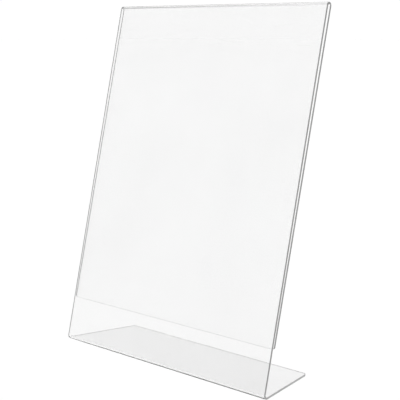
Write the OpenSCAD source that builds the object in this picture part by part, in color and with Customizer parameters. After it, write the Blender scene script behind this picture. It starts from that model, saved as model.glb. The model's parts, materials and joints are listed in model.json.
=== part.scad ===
// Slanted stand for one portrait page, bent from a single clear acrylic sheet.
// Millimetres. X runs across the stand, +Y is the rear, +Z is up.
// The origin is the centre of the flat underside of the base plate.
//
// Joint, for the flap only: flap_flex turns the rear flap about the top fold's
// own axis, lower edge to the rear, so that a page can be slid into the pocket.
//
// The sheet is one bent piece. It is cut at its bend lines into plain zones that
// meet face to face: base_plate, base_bend, front_panel, fold_front, fold_rear and
// rear_flap. The top fold is in two quarter turns, so that neither closes the pocket.

/* [Sheet] */

// Width of the sheet, the page width with a small margin each side
sheet_width = 218; // [150:1:320]

// Thickness of the sheet
sheet_thickness = 1.6; // [1.2:0.1:4]

// Radius of the free corners
corner_radius = 1.6; // [0.5:0.1:5]

/* [Front panel] */

// Lean of the front panel, back from upright, in degrees
lean = 13.2; // [5:0.1:25]

// Height of the front face along its slope, from the table to the crown of the fold
slope_height = 285; // [180:1:460]

/* [Base] */

// Depth of the base, from the front corner's meeting point to the rear edge
base_depth = 65; // [40:1:130]

// How much narrower the base is at its rear edge, on each side
base_taper = 13.5; // [0:0.5:25]

// Radius on the inside of the bend between base and front panel
base_bend_radius = 1.5; // [0.8:0.1:6]

/* [Pocket] */

// Radius on the inside of the top fold, half of the pocket's gap at the top
fold_radius = 1.0; // [0.4:0.1:3]

// Gap of the pocket at the lower edge of the flap
lower_gap = 0.6; // [0.1:0.05:2]

// Height of the flap's lower edge above the table, along the slope
flap_lift = 36.5; // [15:1:120]

// Slit that lets the flap turn without touching the fold
flex_slit = 0.3; // [0.2:0.05:1]

/* [Hidden] */

$fn = 96;

// Slack that carries a cutting shape past the face that it cuts.
past = 1;

// Angle through which the base bend turns the sheet.
base_turn = 90 + lean;

// Outer radii of the two bends.
base_outer = base_bend_radius + sheet_thickness;
fold_outer = fold_radius + sheet_thickness;

// Length of each flat that the base bend uses up, from its meeting point.
base_setback = base_outer * tan(base_turn / 2);

// Side view: the base's flat runs from flat_front to flat_rear along Y.
flat_length = base_depth - base_setback;
flat_front = -flat_length / 2;
flat_rear = flat_length / 2;

// Side view: where the outer faces of base and panel would meet.
corner_y = flat_front - base_setback;

// Flat length of the front panel, between the two bends.
panel_length = slope_height - base_setback - fold_outer;

// The fold's axis: end of the panel's flat, then in by the outer radius.
panel_end = base_setback + panel_length;
fold_y = corner_y + panel_end * sin(lean) + fold_outer * cos(lean);
fold_z = panel_end * cos(lean) - fold_outer * sin(lean);

// The flap leans in to the panel, so that its lower edge nearly touches it.
flap_reach = panel_end - flap_lift;
flap_close = asin((2 * fold_radius - lower_gap) / flap_reach);

// Turn of the whole top fold, and of its front part.
fold_turn = 180 + flap_close;
fold_front_turn = 90;

// The flap's flat starts one slit below the end of the fold.
flap_length = flap_reach / cos(flap_close) - flex_slit;

// Clear acrylic, used only for the preview.
clear_sheet = [0.85, 0.9, 0.93, 0.6];

// Part of a ring about the X axis, across the whole width. In the side view it
// starts at first degrees above +Y and turns on, clockwise as seen from +X.
module bent_strip(inner, first, turn) {
    rotate([first - 90, 0, 0])
        rotate([0, -90, 0])
            translate([0, 0, -sheet_width / 2])
                rotate_extrude(angle = turn)
                    translate([inner, 0])
                        square([sheet_thickness, sheet_width]);
}

// What is cut off a corner at the origin to round it. One edge of the plate runs
// along -X, the other runs to -Y and out to +X at side_slope degrees.
module corner_cut(side_slope) {
    inset = corner_radius / tan((90 + side_slope) / 2);
    along_side = [sin(side_slope), -cos(side_slope)];
    out_of_side = [cos(side_slope), sin(side_slope)];
    difference() {
        polygon([
            [-inset, 0],
            [-inset, past],
            [past, past],
            inset * along_side + past * out_of_side,
            inset * along_side,
            [-inset, -corner_radius]
        ]);
        translate([-inset, -corner_radius])
            circle(corner_radius);
    }
}

// Flat of the base in plan, narrowing to the rear, with rounded rear corners.
module base_outline() {
    half_front = sheet_width / 2;
    half_rear = half_front - base_taper;
    difference() {
        polygon([
            [-half_front, flat_front],
            [half_front, flat_front],
            [half_rear, flat_rear],
            [-half_rear, flat_rear]
        ]);
        for (side = [0, 1])
            mirror([side, 0])
                translate([half_rear, flat_rear])
                    corner_cut(atan(base_taper / flat_length));
    }
}

// Outline of the flap, from its top edge at Y = 0 down to rounded lower corners.
module flap_outline() {
    difference() {
        translate([-sheet_width / 2, -flap_length])
            square([sheet_width, flap_length]);
        for (side = [0, 1])
            mirror([side, 0])
                translate([sheet_width / 2, -flap_length])
                    mirror([0, 1])
                        corner_cut(0);
    }
}

module base_plate() {
    color(clear_sheet)
        linear_extrude(sheet_thickness)
            base_outline();
}

module base_bend() {
    color(clear_sheet)
        translate([0, flat_front, base_outer])
            bent_strip(base_bend_radius, -90, base_turn);
}

module front_panel() {
    color(clear_sheet)
        translate([0, corner_y, 0])
            rotate([90 - lean, 0, 0])
                translate([-sheet_width / 2, base_setback, -sheet_thickness])
                    cube([sheet_width, panel_length, sheet_thickness]);
}

module fold_front() {
    color(clear_sheet)
        translate([0, fold_y, fold_z])
            bent_strip(fold_radius, 180 - lean, fold_front_turn);
}

module fold_rear() {
    color(clear_sheet)
        translate([0, fold_y, fold_z])
            bent_strip(fold_radius, 180 - lean - fold_front_turn, fold_turn - fold_front_turn);
}

module rear_flap() {
    color(clear_sheet)
        translate([0, fold_y, fold_z])
            rotate([90 - lean - flap_close, 0, 0])
                translate([0, -flex_slit, -fold_outer])
                    linear_extrude(sheet_thickness)
                        flap_outline();
}

base_plate();
base_bend();
front_panel();
fold_front();
fold_rear();
rear_flap();
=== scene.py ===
"""A slanted stand for one page, bent from a single sheet of clear acrylic.

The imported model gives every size: the two bends, the flats between them and the hinge axis of
the flap. The sheet is built along that side profile in two stretches, foot and pocket, that share
a ring of points, so that together they are one closed surface. Metres, +Z up, +Y to the rear.
"""

import json
import math

import bpy
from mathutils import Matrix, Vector


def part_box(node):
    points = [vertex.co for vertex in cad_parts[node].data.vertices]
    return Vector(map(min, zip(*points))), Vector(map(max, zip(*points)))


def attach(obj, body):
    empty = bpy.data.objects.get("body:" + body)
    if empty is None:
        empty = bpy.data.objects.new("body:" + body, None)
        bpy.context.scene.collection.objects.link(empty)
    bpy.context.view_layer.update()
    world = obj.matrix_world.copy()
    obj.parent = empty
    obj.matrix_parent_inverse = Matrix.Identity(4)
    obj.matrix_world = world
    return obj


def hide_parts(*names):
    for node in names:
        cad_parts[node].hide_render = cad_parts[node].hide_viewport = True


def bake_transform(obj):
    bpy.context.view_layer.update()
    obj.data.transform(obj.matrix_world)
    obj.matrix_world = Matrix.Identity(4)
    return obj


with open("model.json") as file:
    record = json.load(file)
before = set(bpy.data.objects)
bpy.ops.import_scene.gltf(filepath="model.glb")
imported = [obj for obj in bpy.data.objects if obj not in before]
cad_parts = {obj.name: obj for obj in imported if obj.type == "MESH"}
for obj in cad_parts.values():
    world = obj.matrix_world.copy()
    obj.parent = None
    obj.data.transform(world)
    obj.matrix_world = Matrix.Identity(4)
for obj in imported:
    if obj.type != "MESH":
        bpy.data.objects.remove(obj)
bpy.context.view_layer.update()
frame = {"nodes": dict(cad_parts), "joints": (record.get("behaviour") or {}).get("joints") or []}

MM = 0.001

# ---------------------------------------------------------------- sizes read from the frame

base_low, base_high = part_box("base_plate")
bend_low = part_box("base_bend")[0]
crown_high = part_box("fold_front")[1]
flap_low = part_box("rear_flap")[0]
hinge = Vector(frame["joints"][0]["pos_m"])

THICKNESS = base_high.z - base_low.z
HALF_SHEET = THICKNESS / 2
HALF_WIDTH = base_high.x
WIDTH = 2 * HALF_WIDTH

# Outer radii of the two bends, and the centre of the lower one in the side view.
BEND_OUTER = base_low.y - bend_low.y
FOLD_OUTER = crown_high.z - hinge.z
FOLD_INNER = FOLD_OUTER - THICKNESS
BEND_CENTRE_Y = base_low.y
BEND_CENTRE_Z = BEND_OUTER

# Rounds of repeated substitution, which settle the flap's lean.
SUBSTITUTIONS = 6


def panel_lean_and_length():
    """Lean of the panel and length of its flat: its front face touches both bends' outer circles."""
    back = hinge.y - BEND_CENTRE_Y
    up = hinge.z - BEND_CENTRE_Z
    apart = math.hypot(back, up)
    tilt = math.asin((BEND_OUTER - FOLD_OUTER) / apart)
    return math.atan2(back, up) + tilt, apart * math.cos(tilt)


def flap_lean_and_length():
    """Lean and length of the flap, from the low corner of its box, by repeated substitution."""
    down = hinge.z - flap_low.z
    forward = hinge.y - flap_low.y
    angle = LEAN
    for _ in range(SUBSTITUTIONS):
        offset = FOLD_OUTER * math.sin(angle) ** 2 + FOLD_INNER * math.cos(angle) ** 2
        angle = math.atan2(forward, down) + math.asin(offset / math.hypot(down, forward))
    along = down * math.cos(angle) + forward * math.sin(angle)
    return angle, along - THICKNESS * math.sin(angle) * math.cos(angle)


LEAN, PANEL_LENGTH = panel_lean_and_length()
FLAP_LEAN, FLAP_LENGTH = flap_lean_and_length()
BASE_LENGTH = base_high.y - base_low.y


def base_side_slope():
    """How much each side of the base closes in for each metre to the rear."""
    rear_half = [v.co for v in frame["nodes"]["base_plate"].data.vertices if v.co.y > 0]
    return min((HALF_WIDTH - abs(p.x)) / (p.y - base_low.y) for p in rear_half)


BASE_SLOPE = base_side_slope()

# ---------------------------------------------------------------- camera

# Fitted to the corners of the sheet in the photograph.
CAMERA_AZIMUTH = math.radians(44.26)
CAMERA_ELEVATION = math.radians(9.02)
CAMERA_DISTANCE = 3.728 * WIDTH
CAMERA_TARGET = Vector((0.0614 * WIDTH, 0, 0.5889 * WIDTH))
CAMERA_LENS = 95.25
SENSOR_WIDTH = 36
NEAR_CLIP = 0.01
FAR_CLIP = 100


def make_camera():
    """The camera, at the photograph's angle."""
    data = bpy.data.cameras.new("camera")
    data.lens = CAMERA_LENS
    data.sensor_width = SENSOR_WIDTH
    data.clip_start = NEAR_CLIP
    data.clip_end = FAR_CLIP
    camera = bpy.data.objects.new("camera", data)
    bpy.context.scene.collection.objects.link(camera)
    back = Vector((
        math.sin(CAMERA_AZIMUTH) * math.cos(CAMERA_ELEVATION),
        -math.cos(CAMERA_AZIMUTH) * math.cos(CAMERA_ELEVATION),
        math.sin(CAMERA_ELEVATION),
    ))
    camera.location = CAMERA_TARGET + CAMERA_DISTANCE * back
    camera.rotation_euler = (-back).to_track_quat("-Z", "Y").to_euler()
    bpy.context.scene.camera = camera


make_camera()

# ---------------------------------------------------------------- the sheet's shape

# The free corners in plan, and the arrises, which are hardly broken.
CORNER_RADIUS = 1.6 * MM
CORNER_STEPS = 6
EDGE_EASE = 0.07 * MM
EASE_TURNS = (30, 60, 90)
FIRST_EASE = 0.3 * EDGE_EASE

# How far each face draws in at a free end, by the distance from that end.
INSETS = {0.0: EDGE_EASE, FIRST_EASE: FIRST_EASE, EDGE_EASE: 0.0}

# A station is left out unless it lies past the one before it by this ratio.
LEAST_RATIO = 1.05

# How finely the sheet is cut: across it, along its flats, near their ends, and round its bends.
COLUMNS = 20
COLUMN_SHARES = [-math.cos(math.pi * i / COLUMNS) for i in range(COLUMNS + 1)]
FLAT_STEP = 12 * MM
FINE_DISTANCES = (0.4 * MM, 1.2 * MM, 2.5 * MM, 4.5 * MM, 7.5 * MM)
BEND_STEP = math.radians(7)

# Heating draws the sheet: at a bend's ends the inner side bulges and the outer side draws in.
BULGE_INNER = 0.22 * MM
BULGE_OUTER = -0.10 * MM

# The flats are not perfectly flat: panel and flap each bow a little away from the pocket.
BOW = {"panel": -0.35 * MM, "flap": -0.12 * MM}


def ease(share):
    """Smooth step from 0 to 1."""
    share = min(max(share, 0), 1)
    return share * share * (3 - 2 * share)


class Station:
    """One place along the sheet's middle line, in the side view."""

    def __init__(self, y, z, heading, zone, share):
        self.y = y
        self.z = z
        self.heading = heading
        self.zone = zone
        self.share = share
        self.half_width = HALF_WIDTH
        self.edge_inset = 0.0

    def inward(self):
        """Unit vector to the side that both bends curl towards."""
        return math.sin(self.heading), -math.cos(self.heading)


def flat_shares(length):
    """Places along a flat as shares of it, closer together near its ends."""
    steps = round(length / FLAT_STEP)
    cuts = {i / steps for i in range(steps + 1)}
    for distance in FINE_DISTANCES:
        cuts.add(distance / length)
        cuts.add(1 - distance / length)
    return sorted(cuts)


def walk():
    """Stations from the base's rear edge, round both bends, to the flap's lower edge."""
    stations = []
    y, z, heading = base_high.y, HALF_SHEET, math.pi
    bend_turn = math.pi / 2 + LEAN
    fold_turn = math.pi + FLAP_LEAN - LEAN
    # Each leg's zone, flat length, turn and radius of the middle line.
    legs = [
        ("base", BASE_LENGTH, 0, 0),
        ("bend", 0, bend_turn, BEND_OUTER - HALF_SHEET),
        ("panel", PANEL_LENGTH, 0, 0),
        ("fold", 0, fold_turn, FOLD_OUTER - HALF_SHEET),
        ("flap", FLAP_LENGTH, 0, 0),
    ]
    for zone, length, turn, radius in legs:
        if turn:
            steps = math.ceil(turn / BEND_STEP)
            centre_y = y + radius * math.sin(heading)
            centre_z = z - radius * math.cos(heading)
            for i in range(1, steps):
                angle = heading - turn * i / steps
                at_y = centre_y - radius * math.sin(angle)
                at_z = centre_z + radius * math.cos(angle)
                stations.append(Station(at_y, at_z, angle, zone, i / steps))
            heading -= turn
            y = centre_y - radius * math.sin(heading)
            z = centre_z + radius * math.cos(heading)
            continue
        for share in flat_shares(length):
            at_y = y + share * length * math.cos(heading)
            at_z = z + share * length * math.sin(heading)
            stations.append(Station(at_y, at_z, heading, zone, share))
        y += length * math.cos(heading)
        z += length * math.sin(heading)
    return stations


def round_ends(stations):
    """Adds the rounded corners and the eased edge at each free end, and sets the half widths."""
    for s in stations:
        if s.zone == "base":
            s.half_width = HALF_WIDTH - BASE_SLOPE * (s.y - base_low.y)
    quarter = [math.pi / 2 * (i + 1) / CORNER_STEPS for i in range(CORNER_STEPS)]
    corner_cuts = [CORNER_RADIUS * (1 - math.cos(angle)) for angle in quarter]
    spots = sorted(set(INSETS) | {cut for cut in corner_cuts if cut > EDGE_EASE * LEAST_RATIO})
    for at_start in (True, False):
        end = stations[0] if at_start else stations[-1]
        kept = [
            s for s in stations
            if math.hypot(s.y - end.y, s.z - end.z) > CORNER_RADIUS * LEAST_RATIO
        ]
        sign = 1 if at_start else -1
        made = []
        for distance in spots:
            s = Station(
                end.y + sign * distance * math.cos(end.heading),
                end.z + sign * distance * math.sin(end.heading),
                end.heading,
                end.zone,
                end.share,
            )
            reach = CORNER_RADIUS - min(distance, CORNER_RADIUS)
            s.half_width = end.half_width - CORNER_RADIUS + math.sqrt(CORNER_RADIUS**2 - reach**2)
            s.edge_inset = INSETS.get(distance, 0.0)
            made.append(s)
        stations = made + kept if at_start else kept + made[::-1]
    return stations


def bow(station, share_x):
    """How far the sheet stands towards its inner side here."""
    return BOW.get(station.zone, 0.0) * math.sin(math.pi * station.share) * (1 - share_x**2)


def ring(station):
    """Points round the sheet's section: outer face, right edge, inner face, left edge."""
    half = HALF_SHEET - station.edge_inset
    bulge = math.sin(math.pi * station.share) if station.zone in ("bend", "fold") else 0.0
    in_y, in_z = station.inward()

    def point(x, offset, share_x):
        offset += bow(station, share_x)
        return x, station.y + offset * in_y, station.z + offset * in_z

    def side(sign):
        """From the outer face to the inner face, round one edge."""
        spots = []
        for turn in EASE_TURNS:
            a = math.radians(turn)
            spots.append((EDGE_EASE * (1 - math.sin(a)), -half + EDGE_EASE * (1 - math.cos(a))))
        mirrored = [(inset, -offset) for inset, offset in reversed(spots)]
        spots += [(0.0, 0.0)] + mirrored
        points = []
        for inset, offset in spots:
            share = (offset + half) / (2 * half)
            swell = bulge * (BULGE_OUTER + (BULGE_INNER - BULGE_OUTER) * ease(share))
            points.append(point(sign * (station.half_width - inset + swell), offset, sign))
        return points

    flat_half = station.half_width - EDGE_EASE
    outer_half = flat_half + bulge * BULGE_OUTER
    inner_half = flat_half + bulge * BULGE_INNER
    outer = [point(s * outer_half, -half, s) for s in COLUMN_SHARES]
    inner = [point(s * inner_half, half, s) for s in reversed(COLUMN_SHARES)]
    return outer + side(1) + inner + side(-1)[::-1]


SIDE_POINTS = 2 * len(EASE_TURNS) + 1
FACE_SLOT = 0
EDGE_SLOT = 1
# The front slot holds the darker copy of the clear finish on the lower bend and panel: painted shade.
FRONT_SLOT = 2
FRONT_ZONES = {"bend", "panel"}

# The foot ends at this station of the panel, on its flat just above the lower bend.
SEAM_STATION = 3


def sheet_mesh(name, stations, cap_first, cap_last):
    """A stretch of the sheet: rings joined along it, and end faces where it has a free edge."""
    rings = [ring(s) for s in stations]
    size = len(rings[0])
    points = [p for r in rings for p in r]
    faces, slots = [], []
    row = COLUMNS + 1
    inner_start = row + SIDE_POINTS
    # Down each side, all the strips between the two faces are the cut.
    side_starts = (row - 1, inner_start + row - 1)
    cut_columns = {start + step for start in side_starts for step in range(SIDE_POINTS + 1)}
    for k in range(len(rings) - 1):
        pair = stations[k : k + 2]
        zones = {s.zone for s in pair}
        face_slot = FRONT_SLOT if zones <= FRONT_ZONES else FACE_SLOT
        # The flap's lower edge is sawn, arrises and all, so they take the cut edges' grey, which is
        # painted shade.
        if zones == {"flap"} and any(s.edge_inset > 0 for s in pair):
            face_slot = EDGE_SLOT
        for i in range(size):
            j = (i + 1) % size
            faces.append((k * size + i, k * size + j, (k + 1) * size + j, (k + 1) * size + i))
            slots.append(EDGE_SLOT if i in cut_columns else face_slot)
    ends = [(0, True)] if cap_first else []
    if cap_last:
        ends.append(((len(rings) - 1) * size, False))
    for first, flip in ends:
        for i in range(COLUMNS):
            a, b = i, i + 1
            c, d = inner_start + COLUMNS - 1 - i, inner_start + COLUMNS - i
            quad = [first + a, first + b, first + c, first + d]
            faces.append(quad[::-1] if flip else quad)
            slots.append(EDGE_SLOT)
        right = [first + row - 1 + i for i in range(SIDE_POINTS + 2)]
        left = [first + (inner_start + row - 1 + i) % size for i in range(SIDE_POINTS + 2)]
        for cap in (right, left):
            faces.append(cap[::-1] if flip else cap)
            slots.append(EDGE_SLOT)
    mesh = bpy.data.meshes.new(name)
    mesh.from_pydata(points, [], faces)
    mesh.validate()
    mesh.polygons.foreach_set("material_index", slots)
    mesh.polygons.foreach_set("use_smooth", [True] * len(faces))
    mesh.update()
    return mesh


def mark_sharp_rows(mesh):
    """The faces meet the cut edges in a crisp line, and the bends stay smooth."""
    slots_by_edge = {}
    for polygon in mesh.polygons:
        for key in polygon.edge_keys:
            slots_by_edge.setdefault(key, set()).add(polygon.material_index)
    for edge in mesh.edges:
        slots = slots_by_edge[edge.key]
        edge.use_edge_sharp = EDGE_SLOT in slots and len(slots) > 1


# ---------------------------------------------------------------- materials

ACRYLIC_IOR = 1.49


def grey(level):
    """An opaque colour with the same level in each channel."""
    return level, level, level, 1


class Nodes:
    """Short calls for building one material's node tree."""

    def __init__(self, name):
        self.material = bpy.data.materials.new(name)
        self.material.use_nodes = True
        self.tree = self.material.node_tree
        self.shader = self.tree.nodes["Principled BSDF"]

    def add(self, kind, inputs=None, **settings):
        node = self.tree.nodes.new(kind)
        for key, value in settings.items():
            setattr(node, key, value)
        for key, value in (inputs or {}).items():
            if isinstance(value, bpy.types.NodeSocket):
                self.tree.links.new(value, node.inputs[key])
            else:
                node.inputs[key].default_value = value
        return node

    def greys(self, factor, low, high, start=0.0, end=1.0):
        """A ramp of greys by factor, from low at start to high at end."""
        ramp = self.add("ShaderNodeValToRGB", {"Fac": factor})
        for element, place, level in zip(ramp.color_ramp.elements, (start, end), (low, high)):
            element.position = place
            element.color = grey(level)
        return ramp.outputs["Color"]

    def link(self, socket, name):
        self.tree.links.new(socket, self.shader.inputs[name])

    def set(self, **values):
        for name, value in values.items():
            self.shader.inputs[name.replace("_", " ")].default_value = value


def acrylic_face(name, clearest, darkest_haze_and_shade):
    """Clear polished faces: faint waviness, hairline scratches and a trace of wiping marks."""
    nodes = Nodes(name)
    nodes.set(Transmission_Weight=1.0, IOR=ACRYLIC_IOR)
    place = nodes.add("ShaderNodeTexCoord").outputs["Object"]
    smudge = nodes.add("ShaderNodeTexNoise", {"Vector": place, "Scale": 14.0, "Detail": 5.0})
    rough = nodes.add("ShaderNodeMapRange", {
        "Value": smudge.outputs["Fac"], "From Min": 0.55, "From Max": 0.8, "To Min": 0.0, "To Max": 0.035,
    })
    nodes.link(rough.outputs["Result"], "Roughness")
    specks = nodes.add("ShaderNodeTexNoise", {"Vector": place, "Scale": 800.0, "Detail": 2.0})
    film = nodes.add("ShaderNodeMix", {
        "Factor": 0.7, "A": smudge.outputs["Fac"], "B": specks.outputs["Fac"],
    })
    nodes.link(nodes.greys(film.outputs["Result"], clearest, darkest_haze_and_shade, 0.30, 0.70), "Base Color")
    wave = nodes.add("ShaderNodeTexNoise", {"Vector": place, "Scale": 9.0, "Detail": 1.0})
    stretched = nodes.add("ShaderNodeMapping", {
        "Vector": place, "Rotation": (0.3, 0.2, 0.5), "Scale": (30, 900, 900),
    }).outputs["Vector"]
    hair = nodes.add("ShaderNodeTexNoise", {"Vector": stretched, "Scale": 1.0, "Detail": 2.0})
    line = nodes.add("ShaderNodeMapRange", {
        "Value": hair.outputs["Fac"], "From Min": 0.70, "From Max": 0.74, "To Min": 0.0, "To Max": 1.0,
    })
    broad = nodes.add("ShaderNodeBump", {
        "Height": wave.outputs["Fac"], "Strength": 0.05, "Distance": 0.002,
    })
    fine = nodes.add("ShaderNodeBump", {
        "Height": line.outputs["Result"], "Strength": 0.05, "Distance": 0.0001,
        "Normal": broad.outputs["Normal"],
    })
    nodes.link(fine.outputs["Normal"], "Normal")
    return nodes.material


def acrylic_edge():
    """Cut edges: satin and finely grained; their grey is painted shade, and they are paler near the
    table, which is painted light from the floor.
    """
    nodes = Nodes("clear_acrylic_edge")
    nodes.set(Roughness=0.3, IOR=ACRYLIC_IOR)
    place = nodes.add("ShaderNodeTexCoord").outputs["Object"]
    grain = nodes.add("ShaderNodeTexNoise", {"Vector": place, "Scale": 900.0, "Detail": 3.0})
    height = nodes.add("ShaderNodeSeparateXYZ", {"Vector": place}).outputs["Z"]
    above = nodes.add("ShaderNodeMapRange", {
        "Value": height, "From Min": THICKNESS, "From Max": 4 * THICKNESS, "To Min": 0.0, "To Max": 1.0,
    })
    # Near the table the edges take paler greys, painted light from the floor; higher up they take darker
    # greys, painted shade. The grain within each is real texture.
    edge_grain_and_painted_shade = nodes.add("ShaderNodeMix", {
        "Factor": above.outputs["Result"],
        "A": nodes.greys(grain.outputs["Fac"], 0.27, 0.43),
        "B": nodes.greys(grain.outputs["Fac"], 0.20, 0.34),
    }, data_type="RGBA")
    nodes.link(edge_grain_and_painted_shade.outputs["Result"], "Base Color")
    cut = nodes.add("ShaderNodeBump", {
        "Height": grain.outputs["Fac"], "Strength": 0.3, "Distance": 0.0001,
    })
    nodes.link(cut.outputs["Normal"], "Normal")
    return nodes.material


# ---------------------------------------------------------------- the piece


def make_piece(mesh, materials):
    """One stretch of the sheet as an object with its finish."""
    mark_sharp_rows(mesh)
    for material in materials:
        mesh.materials.append(material)
    piece = bpy.data.objects.new(mesh.name, mesh)
    bpy.context.scene.collection.objects.link(piece)
    weighted = piece.modifiers.new("even_normals", "WEIGHTED_NORMAL")
    weighted.keep_sharp = True
    # Clear sheet lets nearly all light through, so it doesn't darken the floor or what is under it.
    piece.visible_shadow = False
    piece.visible_diffuse = False
    return piece


def make_sheet():
    """Foot and pocket: two stretches of the one sheet, open where they share a ring of points."""
    stations = round_ends(walk())
    panel = [k for k, s in enumerate(stations) if s.zone == "panel"]
    seam = panel[SEAM_STATION]
    # The front panel and lower bend take a darker copy of the clear finish; that darkening is painted
    # shade.
    materials = (
        acrylic_face("clear_acrylic_face", 0.998, 0.974),
        acrylic_edge(),
        acrylic_face("clear_acrylic_front_shaded", 0.951, 0.893),
    )
    foot = make_piece(sheet_mesh("acrylic_foot", stations[: seam + 1], True, False), materials)
    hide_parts("base_plate", "base_bend")
    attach(foot, "stand")
    pocket = make_piece(sheet_mesh("acrylic_pocket", stations[seam:], False, True), materials)
    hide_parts("front_panel", "fold_front", "fold_rear", "rear_flap")
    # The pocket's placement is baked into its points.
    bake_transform(pocket)


make_sheet()

# ---------------------------------------------------------------- floor, backdrop and light

FLOOR_HALF = 30.0
FLOOR_DROP = 0.15 * MM
FLOOR_LEVEL = 0.9


def make_floor():
    """A wide white floor, a hair below the base's underside."""
    mesh = bpy.data.meshes.new("floor")
    signs = ((-1, -1), (1, -1), (1, 1), (-1, 1))
    mesh.from_pydata([(x * FLOOR_HALF, y * FLOOR_HALF, 0) for x, y in signs], [], [(0, 1, 2, 3)])
    floor = bpy.data.objects.new("floor", mesh)
    floor.location.z = -FLOOR_DROP
    nodes = Nodes("floor_white")
    nodes.set(Base_Color=grey(FLOOR_LEVEL), Roughness=0.9, Specular_IOR_Level=0.0)
    mesh.materials.append(nodes.material)
    bpy.context.scene.collection.objects.link(floor)


# The studio's brightness by height, which is the sine of the angle above the horizon. The backdrop
# is white at the horizon, the walls behind the stand are greyer than the ones in front of it, and
# a wide soft light hangs overhead.
HORIZON = 1.014
OVERHEAD = 1.508
REAR_WALLS = (
    (0.0, HORIZON), (0.04, HORIZON), (0.16, 0.85), (0.30, 0.73),
    (0.42, 0.40), (0.66, 0.40), (0.78, OVERHEAD),
)
FRONT_WALLS = ((0.0, HORIZON), (0.21, 1.04), (0.34, 1.07), (0.60, 1.0), (0.78, OVERHEAD))

# Where the front walls end and the rear walls begin, along Y, and the brightness of full white.
FRONT_END = -0.25
REAR_START = 0.15
SKY_FULL = 2.0


def wall_ramp(tree, height, stops):
    """A brightness by height, as a share of SKY_FULL."""
    ramp = tree.nodes.new("ShaderNodeValToRGB")
    tree.links.new(height, ramp.inputs["Fac"])
    elements = ramp.color_ramp.elements
    elements[-1].position = stops[-1][0]
    for position, _ in stops[1:-1]:
        elements.new(position)
    for element, (_, level) in zip(elements, stops):
        element.color = grey(level / SKY_FULL)
    return ramp.outputs["Color"]


def make_world():
    """A soft white studio with no lamp in it."""
    world = bpy.data.worlds.new("studio")
    bpy.context.scene.world = world
    world.use_nodes = True
    tree = world.node_tree
    place = tree.nodes.new("ShaderNodeTexCoord")
    split = tree.nodes.new("ShaderNodeSeparateXYZ")
    tree.links.new(place.outputs["Generated"], split.inputs["Vector"])
    to_rear = tree.nodes.new("ShaderNodeMapRange")
    to_rear.interpolation_type = "SMOOTHSTEP"
    to_rear.inputs["From Min"].default_value = FRONT_END
    to_rear.inputs["From Max"].default_value = REAR_START
    tree.links.new(split.outputs["Y"], to_rear.inputs["Value"])
    mix = tree.nodes.new("ShaderNodeMix")
    mix.data_type = "RGBA"
    tree.links.new(to_rear.outputs["Result"], mix.inputs["Factor"])
    tree.links.new(wall_ramp(tree, split.outputs["Z"], FRONT_WALLS), mix.inputs["A"])
    tree.links.new(wall_ramp(tree, split.outputs["Z"], REAR_WALLS), mix.inputs["B"])
    background = tree.nodes["Background"]
    tree.links.new(mix.outputs["Result"], background.inputs["Color"])
    background.inputs["Strength"].default_value = SKY_FULL


make_floor()
make_world()
bpy.context.scene.view_settings.view_transform = "Standard"
